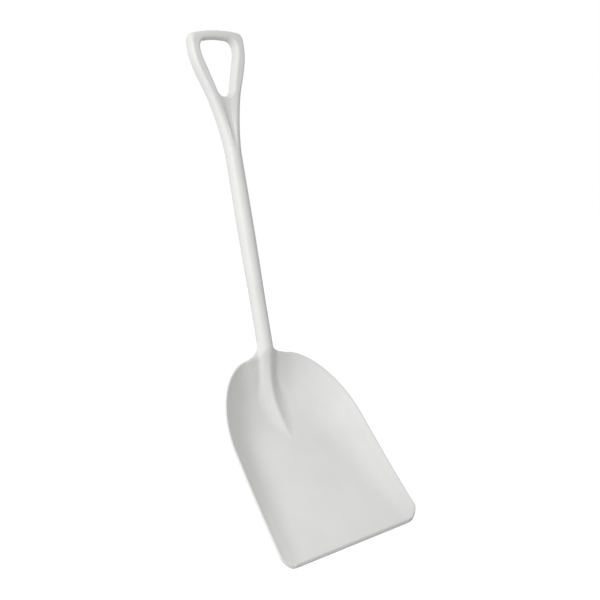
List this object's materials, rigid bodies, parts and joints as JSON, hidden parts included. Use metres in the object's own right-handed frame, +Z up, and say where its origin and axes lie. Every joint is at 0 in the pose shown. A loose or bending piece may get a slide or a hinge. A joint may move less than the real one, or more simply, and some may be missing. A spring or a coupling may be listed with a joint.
{
  "type": "scoop shovel",
  "caption": "One-piece moulded scoop shovel: dished blade with a raised spine, round straight shaft and triangular D grip, for moving grain, seed, flour or other loose material.",
  "frame": {"origin": "middle of the underside of the crossbar of the D grip, where the shovel hangs on a hook", "axes": "+Z up the shaft towards the grip, -Y towards the front (the hollow side of the blade), +X across the blade to the right of someone facing its back"},
  "size_m": [0.3516, 0.2161, 1.0587],
  "materials": {
    "white_skin": "satin",
    "foam_core": "matte"
  },
  "bodies": {
    "root": {"blade": "white_skin", "shaft": "white_skin", "grip": "white_skin", "blade_core": "foam_core", "shaft_core": "foam_core", "grip_core": "foam_core"}
  },
  "joints": []
}
